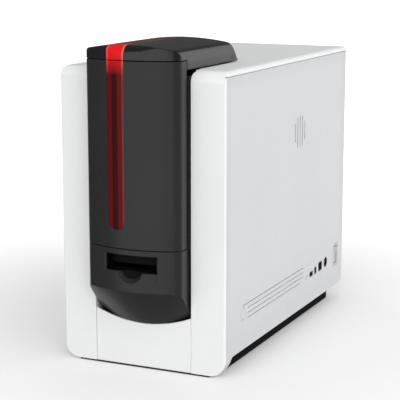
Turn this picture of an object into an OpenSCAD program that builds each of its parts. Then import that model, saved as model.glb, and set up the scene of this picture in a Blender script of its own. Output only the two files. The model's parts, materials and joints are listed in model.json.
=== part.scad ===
// Desk-top card printer: white housing, front card feeder with hinged hood and door,
// card slot, service door on the left, print and transfer mechanism inside.

/* [Housing] */
// Width of the housing
body_w = 205; // [195:1:250]
// Depth of the housing, without the bulge of the feeder
body_d = 408; // [400:1:490]
// Height of the housing's top face above its front lower edge
body_h = 341; // [338:1:410]
// Thickness of the housing's walls
wall = 3; // [2.4:0.1:4]
// Height of the feet under the front lower edge
foot_h = 2; // [1.5:0.5:4]
// How much higher the lower edge is along the sides than at the front
side_raise = 19; // [14:1:24]
// Length of the soft step between the two lower edges
step_len = 20; // [18:1:30]
// Length of the flat underside of the front, before the step
toe_flat = 4; // [2:1:10]
// Radius of the front edge of the top
front_top_r = 14; // [10:1:18]
// Radius of the upright rear edges
rear_r = 12; // [8:1:14]
// Radius of the lower rear corner
rear_low_r = 24; // [14:1:30]
// Radius of the long edges of the top
top_edge_r = 6; // [4:0.5:8]
// Radius of the lower corners of the front
front_corner_r = 19; // [12:1:22]
// Width of the rim round each side panel
rim = 2.8; // [2:0.1:4]
// Thickness of the side panels
panel_t = 2.5; // [2:0.1:3]
// Gap round panels and covers
seam = 0.6; // [0.4:0.1:1]

/* [Feeder tower] */
// Width of the feeder tower
tower_w = 116; // [110:1:122]
// Bulge of the tower in front of the housing
bow = 35; // [28:1:42]
// Radius of the bowed front
bow_r = 127.25; // [110:0.25:160]
// Radius of the tower's upright corners
tower_corner_r = 10.5; // [8:0.5:12]
// Thickness of the tower's covers
cover_t = 2; // [1.8:0.1:2.4]
// Height of the seam between slot module and feeder door
door_low_z = 144.3; // [138:0.1:150]
// Height of the hood above the top of the housing
hood_h = 28; // [26:0.5:31]
// Height of the door's upper edge above the top of the housing
door_rise = 11; // [9:0.5:12]
// Length of the hood behind the front of the housing
hood_len = 136; // [130:1:150]
// Width of the red window
window_w = 22; // [14:1:26]
// Distance of the window's centre line from the middle of the tower
window_x = -14; // [-25:1:-10]
// Height of the window's rounded lower end
window_low_z = 166; // [160:1:180]

/* [Card path] */
// Length of a card
card_l = 85.6; // [85:0.1:87]
// Width of a card
card_w = 54; // [53:0.1:55]
// Thickness of a card
card_t = 0.8; // [0.5:0.1:1]
// Height of the card slot's recess
slot_h = 19; // [16:1:22]
// Height of the middle of the exit path
exit_z = 122; // [121:1:130]
// Radius of the thumb notch
notch_r = 17; // [14:0.5:18.5]

/* [Side panel] */
// Diameter of the round grille
grille_d = 41; // [36:1:48]
// Distance between the grille's slots
grille_pitch = 8.3; // [7:0.1:10]
// Width of the grille's slots
grille_slot = 2.8; // [2:0.1:3.5]
// Distance between the louvre rows
louvre_pitch = 5.8; // [5:0.1:7]

/* [Hidden] */
$fn = 64;

e = 0.01;
fit = 0.05;
origin_y = (body_d - bow) / 2;
bay_gap = 2.5;
bay_w = tower_w + 2 * bay_gap;
bow_y = bow_r - bow;
hood_top = body_h + hood_h;
door_top = body_h + door_rise;
side_x = body_w / 2;
panel_x = side_x - 0.3 - panel_t;
rim_y0 = rim;
rim_y1 = body_d - rim - 7.6;
rim_z1 = body_h - rim - 3.4;
ledge = 6;

// ---- shared outlines -------------------------------------------------

// Moves a piece from the construction frame (y = 0 at the front, z = 0 at the front's lower edge)
// to the part's own frame (origin under the middle, on the floor)
module placed() {
    translate([0, -origin_y, foot_h]) children();
}

// Extrudes an outline drawn in y and z along x, centred, over a width w
module along_x(w) {
    rotate([90, 0, 90]) translate([0, 0, -w / 2]) linear_extrude(w) children();
}

// Extrudes an outline drawn in x and z along y, from y0 over a depth d
module along_y(y0, d) {
    translate([0, y0 + d, 0]) rotate([90, 0, 0]) linear_extrude(d) children();
}

// Rod along x
module rod_x(r, x0, x1, y, z) {
    translate([x0, y, z]) rotate([0, 90, 0]) cylinder(r = r, h = x1 - x0);
}

// Box from one corner to the opposite one
module box(a, b) {
    translate(a) cube(b - a);
}

// Distance by which the bowed arcs stop short of their tangent points
bow_lap = 0.2;

// Convex outline with a bowed front: side walls at +-half, front arc of radius r_bow whose
// tip lies at y = -tip, corner radius r, straight back at y = back, all drawn in by inset
module bowed(half, tip, r_bow, r, back, inset = 0) {
    cy = r_bow - tip;
    cx = half - r;
    dy = sqrt((r_bow - r) * (r_bow - r) - cx * cx);
    xt = cx * (r_bow - inset) / (r_bow - r) - bow_lap;
    intersection() {
        translate([0, cy]) circle(r_bow - inset);
        translate([-xt, -tip - 1]) square([2 * xt, tip + 1 + cy - dy]);
    }
    for (s = [-1, 1]) translate([s * cx, cy - dy]) circle(r - inset);
    translate([inset - half, cy - dy]) square([2 * (half - inset), back - cy + dy]);
}

// Cuts a block's corner p back to an arc of radius r; d points from the corner into the block
module corner_cut(p, d, r) {
    translate(p) difference() {
        translate([d[0] > 0 ? -1 : -r, d[1] > 0 ? -1 : -r]) square(r + 1);
        translate(d * r) circle(r);
    }
}

// Side outline of the housing, in y and z, drawn in by inset
module side_outline(inset = 0) {
    step_r = (step_len * step_len + side_raise * side_raise) / (4 * side_raise);
    // where the two arcs of the step meet
    share = (step_r - inset) / (2 * step_r);
    meet = [toe_flat + step_len * share, step_r + (side_raise - 2 * step_r) * share];
    difference() {
        translate([inset, inset]) square([body_d - 2 * inset, body_h - 2 * inset]);
        corner_cut([inset, body_h - inset], [1, -1], front_top_r - inset);
        corner_cut([body_d - inset, body_h - inset], [-1, -1], rear_r - inset);
        corner_cut([body_d - inset, side_raise + inset], [-1, 1], rear_low_r - inset);
        translate([toe_flat + step_len, -1]) square([body_d, side_raise + 1 + inset]);
        difference() {
            translate([toe_flat, -1]) square([step_len + 1, meet[1] + 1]);
            translate([toe_flat, step_r]) circle(r = step_r - inset);
        }
        intersection() {
            translate([toe_flat + step_len, side_raise - step_r]) circle(r = step_r + inset);
            translate([meet[0], -1]) square([step_len, side_raise + 2 + inset]);
        }
    }
}

// The housing as one closed form
module body_form() {
    intersection() {
        along_x(body_w + 2) side_outline();
        along_y(-1, body_d + 2) difference() {
            translate([-side_x, 0]) square([body_w, body_h]);
            for (s = [-1, 1]) {
                corner_cut([s * side_x, body_h], [-s, -1], top_edge_r);
                corner_cut([s * side_x, 0], [-s, 1], front_corner_r);
            }
        }
        translate([0, 0, -1]) linear_extrude(body_h + 2) difference() {
            translate([-side_x, 0]) square([body_w, body_d]);
            for (s = [-1, 1]) {
                corner_cut([s * side_x, body_d], [-s, -1], rear_r);
                corner_cut([s * side_x, 0], [-s, 1], 2.5);
            }
        }
    }
}

// Outline of a side panel in y and z, grown by g
module panel_outline(g = 0) {
    translate([rim_y0 - g, -1]) square([rim_y1 - rim_y0 + 2 * g, rim_z1 + 1 + g]);
}

// ---- housing ---------------------------------------------------------

rear_wall = 5;
return_d = 40;
well_y = hood_len + 1;
well_x = tower_w / 2 + 0.8;
fascia_d = toe_flat + step_len + 2;
tray_x = side_x - 12.5;
tray_y0 = fascia_d + 2;
tray_y1 = body_d - 24;
fascia_mid_z = 51.5;
fascia_end_z = 64;
fascia_r = (pow(bay_w / 2, 2) + pow(fascia_end_z - fascia_mid_z, 2)) / (2 * (fascia_end_z - fascia_mid_z));
cover_x = side_x - 18.5;
cover_z0 = 34;
cover_z1 = body_h - 20;
white = [0.93, 0.93, 0.94];
charcoal = [0.12, 0.12, 0.13];
steel = [0.7, 0.71, 0.73];

// Region under the arched top edge of the centre fascia, in x and z, lowered by g
module under_arch(g = 0) {
    difference() {
        translate([-bay_w / 2, -1]) square([bay_w, fascia_end_z + 1]);
        translate([0, fascia_mid_z + fascia_r]) circle(r = fascia_r + g);
    }
}

// Service door's hinge: axis near the rear rim on the left
door_hinge_x = -(side_x - 5);
door_hinge_y = rim_y1 - 4;
door_swing_r = norm([side_x + door_hinge_x, rim_y1 - door_hinge_y]);
hinge_pin_r = 1.5;
lug_r = 2.4;
service_lug_z = [70, 290];
lug_h = 10;

module housing() placed() color(white) {
    difference() {
        body_form();
        along_x(body_w - 2 * wall - 2 * rim) intersection() {
            side_outline(wall);
            square([body_d - rear_wall, body_h]);
        }
        // bay for the tower and the centre fascia
        box([-bay_w / 2, -1, -1], [bay_w / 2, fascia_d, body_h + 1]);
        box([-well_x, -1, body_h - wall - 1], [well_x, well_y, body_h + 1]);
        // rounded inner corners of the columns
        along_y(-1, front_top_r + 1) for (s = [-1, 1])
            corner_cut([s * bay_w / 2, body_h], [s, -1], 6);
        // side panels: outer rebate and the opening inside its ledge
        for (s = [-1, 1]) {
            translate([s * (side_x + panel_x + 2) / 2, 0, 0]) along_x(side_x - panel_x + 2)
                panel_outline(seam);
            translate([s * side_x, 0, 0]) along_x(20) difference() {
                panel_outline(-ledge);
                translate([0, -2]) square([body_d, side_raise + wall + 2]);
            }
        }
        // swing room of the service door's rear edge and knuckles
        box([-side_x - 1, door_hinge_y - 12, side_raise - 1],
            [door_hinge_x + door_swing_r + 0.4, door_hinge_y + door_swing_r + 0.4, rim_z1 + seam]);
        // rear cover
        box([-cover_x - seam, body_d - panel_t - 0.3, cover_z0 - seam],
            [cover_x + seam, body_d + 1, cover_z1 + seam]);
        box([ledge - cover_x, body_d - rear_wall - 1, cover_z0 + ledge],
            [cover_x - ledge, body_d + 1, cover_z1 - ledge]);
        // opening for the base tray
        box([-tray_x - seam, tray_y0 - seam, -1], [tray_x + seam, tray_y1 + seam, side_raise + wall + 1]);
    }
    // inner walls of the columns
    for (s = [-1, 1]) intersection() {
        body_form();
        box([s > 0 ? bay_w / 2 : -bay_w / 2 - wall, wall - e, side_raise + wall],
            [s > 0 ? bay_w / 2 + wall : -bay_w / 2, return_d, body_h - 7]);
    }
    // lugs that hold the service door's hinge pins
    for (z = service_lug_z) difference() {
        union() {
            translate([door_hinge_x, door_hinge_y, z]) cylinder(r = lug_r - 0.3, h = lug_h);
            // arm that goes round the door's rear edge to the rear wall
            box([door_hinge_x, door_hinge_y - 4, z], [door_hinge_x + door_swing_r + 3.5, door_hinge_y + 1, z + lug_h]);
            box([door_hinge_x + door_swing_r + 0.5, door_hinge_y - 4, z],
                [door_hinge_x + door_swing_r + 3.5, body_d - rear_wall + e, z + lug_h]);
        }
        translate([door_hinge_x, door_hinge_y, z - 1]) cylinder(r = hinge_pin_r + fit / 2, h = lug_h + 2);
    }
}

module centre_fascia() placed() color(white) intersection() {
    body_form();
    along_y(-1, fascia_d) intersection() {
        under_arch();
        translate([seam / 2 - bay_w / 2, -1]) square([bay_w - seam, body_h]);
    }
    difference() {
        box([-bay_w, -1, -1], [bay_w, fascia_d - 1, body_h]);
        along_x(bay_w) side_outline(wall);
    }
}

module rear_cover() placed() color(white) difference() {
    box([-cover_x, body_d - panel_t - 0.3, cover_z0], [cover_x, body_d - 0.3, cover_z1]);
    for (i = [0 : 9]) box([-40, body_d - 10, cover_z1 - 40 - 8 * i], [40, body_d + 1, cover_z1 - 37 - 8 * i]);
}

module base_tray() placed() color(charcoal) {
    tray_shell();
    board_posts();
}

module tray_shell() difference() {
    union() {
        linear_extrude(side_raise + wall) difference() {
            translate([-tray_x, tray_y0]) square([2 * tray_x, tray_y1 - tray_y0]);
            for (s = [-1, 1]) corner_cut([s * tray_x, tray_y1], [-s, -1], 14);
        }
        box([-tray_x - 3, return_d + 1, side_raise + wall], [tray_x + 3, tray_y1 - 14, side_raise + wall + 2]);
    }
    translate([0, 0, wall]) linear_extrude(side_raise + wall) difference() {
        translate([wall - tray_x, tray_y0 + wall]) square([2 * (tray_x - wall), tray_y1 - tray_y0 - 2 * wall]);
        for (s = [-1, 1]) corner_cut([s * (tray_x - wall), tray_y1 - wall], [-s, -1], 14 - wall);
    }
    for (i = [0 : 7]) box([-44, tray_y0 + 70 + 14 * i, -1], [44, tray_y0 + 75 + 14 * i, wall + 1]);
}

// Posts that carry the main board
module board_posts() for (p = board_holes) translate([p[0], p[1], wall - e]) difference() {
    cylinder(r = post_r, h = socket_floor - board_t - wall + e);
    translate([0, 0, 30]) cylinder(r = board_screw_r + fit / 2, h = 40);
}

module front_foot() placed() color("black") box([-side_x + front_corner_r + 1, 1, -foot_h],
    [side_x - front_corner_r - 1, 7, 0]);

module rear_feet() placed() color("black") for (s = [-1, 1])
    translate([s * (tray_x - 22), tray_y1 - 26, -foot_h]) cylinder(r = 12, h = foot_h);

module service_hinge_pins() placed() color(steel) for (z = service_lug_z)
    translate([door_hinge_x, door_hinge_y, z - 8]) cylinder(r = hinge_pin_r, h = lug_h + 16);

// ---- side panels -----------------------------------------------------

fan_y = 228.5;
fan_z = 248;
fan_w = 40;
fan_d = 10;
fan_x1 = panel_x - 2.5;
socket_floor = 52;
usb_a = [278.6, 13.2, 7];
usb_b = [294.3, 8.8, 9.4];
network = [313, 15.4, 13];
power_y = 333;
power_z = socket_floor + 7.5;
power_r = 6.7;
switch_c = [371.8, 61.5];
switch_frame_w = [18.4, 31];
switch_hole_w = [15.4, 28];
louvre_z = 70.2;
groove_w = 0.6;
groove_depth = 0.6;
option_c = [52, 61];
option_r = 8;

module panel_form(s) {
    intersection() {
        body_form();
        translate([s * (panel_x + panel_t / 2), 0, 0]) along_x(panel_t) intersection() {
            side_outline();
            panel_outline();
        }
    }
}

// Centred rectangle in y and z
module rect_at(c, w) {
    translate([c[0] - w[0] / 2, c[1] - w[1] / 2]) square([w[0], w[1]]);
}

// Upright slot with round ends
module slot_2d(w, h) {
    square([w, h - w], center = true);
    for (s = [-1, 1]) translate([0, s * (h - w) / 2]) circle(w / 2);
}

module grille_slots() {
    for (i = [-2 : 2]) translate([fan_y + i * grille_pitch, fan_z])
        slot_2d(grille_slot, 2 * sqrt(pow(grille_d / 2, 2) - pow(i * grille_pitch, 2)));
}

// Rectangular outline w wide, drawn with a line of the grooves' width
module outline_2d(a, b) {
    difference() {
        translate(a) square(b - a);
        translate(a + groove_w * [1, 1]) square(b - a - 2 * groove_w * [1, 1]);
    }
}

// Shallow marks on the side panel: rows of louvres, two blanked outlines and a dimple
module panel_marks() {
    for (i = [0 : 3]) translate([i == 0 ? 49 : 65, louvre_z - i * louvre_pitch])
        square([(i == 3 ? 235 : 248) - (i == 0 ? 49 : 65), 2 * groove_w]);
    difference() {
        translate(option_c) circle(option_r, $fn = 6);
        translate(option_c) circle(option_r - groove_w, $fn = 6);
    }
    outline_2d([253.4, 53.4], [268.3, 57.2]);
    translate([218.4, 60.1]) circle(1.1);
}

module right_panel() placed() color(white) difference() {
    union() {
        panel_form(1);
        // pegs that carry the fan
        for (a = [-1, 1], b = [-1, 1])
            rod_x(2, fan_x1, panel_x + e, fan_y + a * (fan_w / 2 - 4), fan_z + b * (fan_w / 2 - 4));
    }
    translate([panel_x + panel_t / 2, 0, 0]) along_x(panel_t + 2) {
        grille_slots();
        for (p = [usb_a, usb_b, network])
            rect_at([p[0], socket_floor + p[2] / 2], [p[1] + seam, p[2] + seam]);
        translate([power_y, power_z]) circle(power_r + seam / 2);
        rect_at(switch_c, switch_hole_w + [seam, seam]);
    }
    translate([panel_x + panel_t, 0, 0]) along_x(2) rect_at(switch_c, switch_frame_w + [seam, seam]);
    translate([panel_x + panel_t, 0, 0]) along_x(2 * groove_depth) panel_marks();
}

module service_door() placed() color(white) difference() {
    union() {
        panel_form(-1);
        // knuckles on both sides of each lug
        for (z = service_lug_z, s = [-1, 1]) difference() {
            union() {
                translate([door_hinge_x, door_hinge_y, z + (s > 0 ? lug_h + 0.3 : -6.3)])
                    cylinder(r = lug_r, h = 6);
                translate([0, 0, z + (s > 0 ? lug_h + 0.3 : -6.3)]) linear_extrude(6)
                    polygon([[-panel_x - e, door_hinge_y - 8], [-panel_x - e, door_hinge_y + 1],
                        [door_hinge_x, door_hinge_y + 1], [door_hinge_x, door_hinge_y - lug_r]]);
            }
            translate([door_hinge_x, door_hinge_y, z - 20]) cylinder(r = hinge_pin_r + fit, h = 60);
        }
    }
}

// ---- feeder tower ----------------------------------------------------

hopper_y0 = 6;
hopper_floor = 158;
frame_x = bay_w / 2 - 1.3;
frame_t = 2.5;
frame_front = -1;
frame_back = hopper_y0 + card_l + 1 + frame_t;
frame_top = body_h - 6;
deck_z = door_low_z;
card_play = 1;
pick_y = 70;
pick_r = 10;
pick_z = hopper_floor + 0.6 - pick_r;
shaft_r = 3;
hood_pin = [hood_len - 18, body_h + 6];
hood_pin_r = 2;
plate_x = 48;
plate_t = 1.5;
ear_x = plate_x + plate_t + 0.5;
ear_t = 4;
door_pin = [-(tower_w / 2 - 4.5), -7.5];
door_lug_z = [deck_z + 26, door_top - 32];
door_flange = 9;
door_back = -3.5;
feeder_swing_r = norm([tower_w / 2 + door_pin[0], door_back - door_pin[1]]);

module tower_plan(inset = 0, back = 20) {
    bowed(tower_w / 2, bow, bow_r, tower_corner_r, back, inset);
}

module tower_frame() placed() color(charcoal) {
    difference() {
        union() {
            // side walls, back wall and hopper floor
            for (s = [-1, 1]) box([s > 0 ? frame_x - frame_t : -frame_x, frame_front, deck_z],
                [s > 0 ? frame_x : frame_t - frame_x, frame_back, frame_top]);
            box([-frame_x, frame_back - frame_t, deck_z], [frame_x, frame_back, frame_top]);
            box([-frame_x, frame_front, hopper_floor - 2.5], [frame_x, frame_back, hopper_floor]);
        }
        // card exit at the back of the hopper and room for the pick roller
        box([-card_w / 2 - 2, frame_back - frame_t - 1, hopper_floor],
            [card_w / 2 + 2, frame_back + 1, hopper_floor + 5]);
        box([-18, pick_y - 12, hopper_floor - 4], [18, pick_y + 12, hopper_floor + 1]);
        rod_x(shaft_r + fit, -frame_x - 1, frame_x + 1, pick_y, pick_z);
    }
    // card guides: ribs from the side walls with an upright lip
    for (s = [-1, 1], y = [hopper_y0 + 12, frame_back - 18]) {
        box([s > 0 ? card_w / 2 + card_play : -frame_x + e, y, hopper_floor - e],
            [s > 0 ? frame_x - e : -card_w / 2 - card_play, y + 2, frame_top - 10]);
        box([s > 0 ? card_w / 2 + card_play : -card_w / 2 - card_play - 2, y - 7, hopper_floor - e],
            [s > 0 ? card_w / 2 + card_play + 2 : -card_w / 2 - card_play, y + 9, frame_top - 10]);
    }
    // ears for the hood's hinge pins
    for (s = [-1, 1]) difference() {
        translate([s * (ear_x + ear_t / 2), 0, 0]) along_x(ear_t) {
            polygon([[frame_back - e, frame_top - 60], [frame_back - e, frame_top],
                [hood_pin[0] - 4, hood_pin[1]], [hood_pin[0] + 3.4, hood_pin[1] - 2]]);
            translate(hood_pin) circle(4);
        }
        rod_x(hood_pin_r + fit / 2, -60, 60, hood_pin[0], hood_pin[1]);
    }
    // lugs for the feeder door's pins
    for (z = door_lug_z) difference() {
        union() {
            translate([door_pin[0], door_pin[1], z]) cylinder(r = 2.2, h = lug_h);
            box([door_pin[0] - 2.2, door_pin[1], z], [door_pin[0] + 2.2, frame_front + e, z + lug_h]);
            box([-frame_x + e, frame_front, z], [door_pin[0] + 2.2, frame_front + 4, z + lug_h]);
        }
        translate([door_pin[0], door_pin[1], z - 1]) cylinder(r = 1.2 + fit / 2, h = lug_h + 2);
    }
}

hood_crown_r = 291;
hood_edge_r = 9;
hood_nose_r = 12;
hood_slant = [[hood_len, body_h + seam], [hood_len - 24, hood_top + 1]];
// horizontal shift of the slanted rear face for each millimetre of wall
slant_in = norm(hood_slant[1] - hood_slant[0]) / (hood_slant[1][1] - hood_slant[0][1]);

// Outer form of the hood, drawn in by inset
module hood_form(inset = 0) {
    intersection() {
        translate([0, 0, body_h]) linear_extrude(hood_h + 1) tower_plan(inset, hood_len + 1);
        along_y(-bow - 1, bow + hood_len + 2) translate([0, hood_top]) mirror([0, 1])
            bowed(tower_w / 2, 0, hood_crown_r, hood_edge_r, hood_h + 1, inset);
        along_x(tower_w + 2) difference() {
            polygon([[-bow - 1, body_h - 1], [-bow - 1, hood_top + 1], hood_slant[1] - [slant_in * inset, 0],
                hood_slant[0] - [slant_in * inset, 0], [hood_slant[0][0] - slant_in * inset, body_h - 1]]);
            corner_cut([-bow + inset, hood_top - inset], [1, -1], hood_nose_r - inset);
        }
    }
}

window_ledge = 3;
window_t = 1;

// Upright strip that the red window fills, in x, between two heights
module window_strip(w, z0, z1, y0, y1) {
    box([window_x - w / 2, y0, z0], [window_x + w / 2, y1, z1]);
}

module hood() placed() color(charcoal) {
    difference() {
        hood_form();
        difference() {
            hood_form(cover_t);
            // bosses round the hinge pins, hung from the roof
            for (s = [-1, 1]) translate([s * (ear_x - 3.3), 0, 0]) along_x(6) {
                translate(hood_pin) circle(4.2);
                translate([hood_pin[0] - 12, hood_pin[1]]) square([12, hood_h]);
            }
        }
        // front is cut away over the feeder door
        box([-tower_w, -bow - 1, body_h - 1], [tower_w, door_back + seam, door_top + seam]);
        box([-tower_w, -bow - 1, body_h - 1], [0, door_pin[1] + feeder_swing_r + 0.3, door_top + seam]);
        box([-tower_w, -bow - 1, body_h - 1], [tower_w, hood_len + 1, body_h + seam]);
        rod_x(hood_pin_r + fit, -60, 60, hood_pin[0], hood_pin[1]);
        // rebate and opening of the red window
        difference() {
            window_strip(window_w, door_top, hood_top + 1, -bow - 1, hood_len - 34);
            hood_form(window_t);
        }
        window_strip(window_w - 2 * window_ledge, door_top + seam + 4, hood_top + 1, -bow - 1, hood_len - 46);
    }
}

module hood_window() placed() color([0.8, 0.1, 0.12, 0.6]) intersection() {
    difference() {
        hood_form();
        hood_form(window_t);
    }
    window_strip(window_w - 0.3, door_top + seam, hood_top + 1, -bow - 1, hood_len - 34.2);
}

module hood_hinge_pins() placed() color(steel) for (s = [-1, 1])
    rod_x(hood_pin_r, s > 0 ? ear_x - 6 : -ear_x - ear_t, s > 0 ? ear_x + ear_t : 6 - ear_x,
        hood_pin[0], hood_pin[1]);

module door_shell(inset, z0, z1) {
    translate([0, 0, z0]) linear_extrude(z1 - z0) tower_plan(inset, door_back);
}

module feeder_door() placed() color(charcoal) difference() {
    union() {
        // shell with stiffening flanges along the lower and the upper edge
        difference() {
            door_shell(0, deck_z + seam, door_top);
            translate([0, 0, deck_z + seam + cover_t]) linear_extrude(door_top - deck_z - seam - 2 * cover_t)
                tower_plan(cover_t, 5);
            translate([0, 0, deck_z]) linear_extrude(body_h) intersection() {
                translate([0, bow_y]) circle(bow_r - door_flange);
                translate([door_flange - tower_w / 2, -bow]) square([tower_w - 2 * door_flange, bow + 5]);
            }
        }
        // knuckles above and below each lug
        for (z = door_lug_z, s = [-1, 1]) translate([0, 0, z + (s > 0 ? lug_h + 0.3 : -6.3)])
            linear_extrude(6) {
                translate(door_pin) circle(r = 2.6);
                translate([door_pin[0] - 3.5, door_pin[1] - 9]) square([3.5 + 2.6, 9]);
            }
    }
    // notches that let the door turn past the lugs
    for (z = door_lug_z) box([-tower_w, -11, z - 0.3], [door_pin[0] + 4, 0, z + lug_h + 0.3]);
    translate([door_pin[0], door_pin[1], deck_z + 10]) cylinder(r = 1.2 + fit, h = door_top - deck_z - 20);
    // rebate and opening of the red window
    difference() {
        window_form(window_w, window_low_z, door_top + 1);
        door_shell(window_t, deck_z, door_top + 2);
    }
    window_form(window_w - 2 * window_ledge, window_low_z + window_ledge, door_top - 8);
}

// Upright form with a round lower end, through the front of the door
module window_form(w, z0, z1) {
    along_y(-bow - 1, 20) translate([window_x, 0]) {
        translate([0, z0 + w / 2]) circle(w / 2);
        translate([-w / 2, z0 + w / 2]) square([w, z1 - z0 - w / 2]);
    }
}

module door_window() placed() color([0.45, 0.08, 0.1, 0.6]) intersection() {
    difference() {
        door_shell(0, deck_z, door_top);
        door_shell(window_t, deck_z - 1, door_top + 1);
    }
    window_form(window_w - 0.3, window_low_z + 0.15, door_top - 0.1);
}

module door_hinge_pins() placed() color(steel) for (z = door_lug_z)
    translate([door_pin[0], door_pin[1], z - 6]) cylinder(r = 1.2, h = lug_h + 12);

module light_bar() placed() color("green") {
    y = bow_y - sqrt(pow(bow_r - cover_t, 2) - pow(window_x - 7, 2)) + 0.3;
    box([window_x - 7, y, window_low_z + 4], [window_x + 7, y + 1.6, door_top - 8]);
}

// ---- slot module and exit path ---------------------------------------

slot_half = [-28.4, 32];
slot_mid = (slot_half[0] + slot_half[1]) / 2;
slot_bevel = 2.4;
scoop_r = 19;
recess_z0 = 119;
notch_z = recess_z0 + notch_r - 13;
recess_back = -17;
module_back = 20;
module_wall = 3;
chin_z = 96.5;
chin_low_z = 50.5;
chin_slope = (chin_z - chin_low_z) / bow;
arch_gap = 1.2;
path_gap = 4.4;
guide_x = card_w / 2 + 2;
guide_t = 2;
guide_end = frame_back + 15;
exit_roller_y = 60;
exit_roller_r = 7;
exit_roller_z = exit_z - path_gap / 2 + 0.6 - exit_roller_r;

// How far forward the bowed front stands at distance x from the middle
function bowed_y(x) = bow_y - sqrt(bow_r * bow_r - x * x);

// Outer form of the slot module, drawn in by inset
module slot_form(inset = 0) {
    difference() {
        intersection() {
            linear_extrude(deck_z - inset) tower_plan(inset, module_back + (inset > 0 ? 1 : 0));
            // the chin: a cone round the axis of the bowed front
            translate([0, bow_y, 0]) rotate_extrude($fn = 128) polygon([[0, chin_z - chin_slope * bow_r],
                [bow_r - inset * 1.3, chin_z], [bow_r - inset * 1.3, deck_z + 1], [0, deck_z + 1]]);
        }
        along_y(-bow - 1, bow + module_back + 3) under_arch(-arch_gap - inset);
    }
}

module slot_module() placed() color(charcoal) difference() {
    union() {
        difference() {
            slot_form();
            slot_form(module_wall);
        }
        // walls of the card recess
        intersection() {
            slot_form(1);
            box([slot_half[0] - 2, -bow, recess_z0 - 2], [slot_half[1] + 2, recess_back + 2,
                recess_z0 + slot_h + 2]);
        }
        // pocket behind the thumb notch
        intersection() {
            slot_form(1);
            translate([slot_mid, recess_back - 3, notch_z]) rotate([90, 0, 0]) cylinder(r = notch_r + 3, h = bow);
        }
    }
    box([slot_half[0], -bow - 1, recess_z0], [slot_half[1], recess_back, recess_z0 + slot_h]);
    // bevels along the recess's upright edges
    for (x = slot_half) translate([x, bowed_y(x), recess_z0]) linear_extrude(slot_h)
        polygon([[-slot_bevel, 0], [0, slot_bevel], [slot_bevel, 0], [0, -slot_bevel]]);
    // thumb notch: a scoop below the recess
    intersection() {
        translate([slot_mid, bowed_y(slot_mid) - sqrt(scoop_r * scoop_r - notch_r * notch_r), notch_z])
            sphere(scoop_r);
        box([-bow, -bow - 1, 0], [bow, bow, recess_z0 + 1]);
    }
    box([-card_w / 2 - 1, recess_back - 1, exit_z - path_gap / 2],
        [card_w / 2 + 1, recess_back + 3, exit_z + path_gap / 2]);
}

module exit_guide() placed() color(charcoal) difference() {
    union() {
        box([-guide_x - guide_t, recess_back + 2, exit_z - path_gap / 2 - guide_t],
            [guide_x + guide_t, guide_end, exit_z + path_gap / 2 + guide_t]);
        // cheeks under the channel that carry the exit roller's shaft
        for (s = [-1, 1]) translate([s * 18, 0, 0]) along_x(4) {
            translate([exit_roller_y, exit_roller_z]) circle(6);
            translate([exit_roller_y - 6, exit_roller_z]) square([12, exit_z - path_gap / 2 - exit_roller_z]);
        }
        // ears that rest on the front edges of the chassis plates
        box([-plate_x, frame_back - 3, exit_z - 8], [plate_x, frame_back, exit_z + 8]);
    }
    box([-guide_x, recess_back, exit_z - path_gap / 2], [guide_x, guide_end + 1, exit_z + path_gap / 2]);
    box([-14, exit_roller_y - 9, exit_z - path_gap], [14, exit_roller_y + 9, exit_z]);
    rod_x(shaft_r + fit, -guide_x, guide_x, exit_roller_y, exit_roller_z);
}

// Roller: rubber-covered barrel on a shaft along x
module roller(c, r, half, x0, x1) {
    rod_x(r, -half, half, c[0], c[1]);
    rod_x(shaft_r, x0, x1, c[0], c[1]);
}

module exit_roller() placed() color("dimgray")
    roller([exit_roller_y, exit_roller_z], exit_roller_r, 12, -22, 22);

module card_weight() placed() color(steel) {
    x = card_w / 2 - 1;
    difference() {
        box([-x, hopper_y0 + 3, hopper_floor + 0.7], [x, hopper_y0 + card_l - 3, hopper_floor + 10]);
        box([-x + 6, hopper_y0 + 14, hopper_floor + 4], [x - 6, hopper_y0 + card_l - 14, hopper_floor + 11]);
    }
    // finger tab
    box([-12, hopper_y0 + 3, hopper_floor + 10 - e], [12, hopper_y0 + 6, hopper_floor + 24]);
}

module pick_roller() placed() color("dimgray")
    roller([pick_y, pick_z], pick_r, 14, -frame_x, frame_x);

// ---- chassis ---------------------------------------------------------

plate_y0 = frame_back;
plate_y1 = body_d - 40;
plate_top = 320;
path_z = hopper_floor + card_t / 2;
feed = [120, path_z - card_t / 2 - 8];
feed_r = 8;
clean = [120, path_z + card_t / 2 + 0.2 + 9];
clean_r = 9;
flip = [180, path_z];
flip_r = 30;
drive = [232, path_z - card_t / 2 - 8];
pinch = [232, path_z + card_t / 2 + 0.2 + 6];
pinch_r = 6;
heat = [265, path_z + card_t / 2 + 0.2 + 14];
heat_r = 14;
press = [265, path_z - card_t / 2 - 10];
press_r = 10;
platen = [300, 228];
platen_r = 10;
head_pivot = [318, 266];
supply = [345, 205];
takeup = [345, 290];
film_a = [222, 283];
film_b = [214, 218];
ribbon_r = 17;
film_r = 28;
film_b_r = 22;
flange_t = 2;
bars = [[plate_y0 + 12, 302], [362, 250], [362, 40], [plate_y0 + 12, 40]];
bar_r = 4;
gear_m = 1;
pinion_n = 15;
idler_n = 45;
drive_n = 30;
gear_t = 5;
gear_x = plate_x + plate_t + 1;
mesh_play = 0.2;
idler_dir = -52;
pinion_dir = -30;
stud_r = 3;
idler = drive + ((idler_n + drive_n) * gear_m / 2 + mesh_play) * [cos(idler_dir), sin(idler_dir)];
motor_c = idler + ((idler_n + pinion_n) * gear_m / 2 + mesh_play) * [cos(pinion_dir), sin(pinion_dir)];
motor_w = 35;
motor_l = 26;
boss_r = 11;
motor_shaft_r = 2.5;

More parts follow.
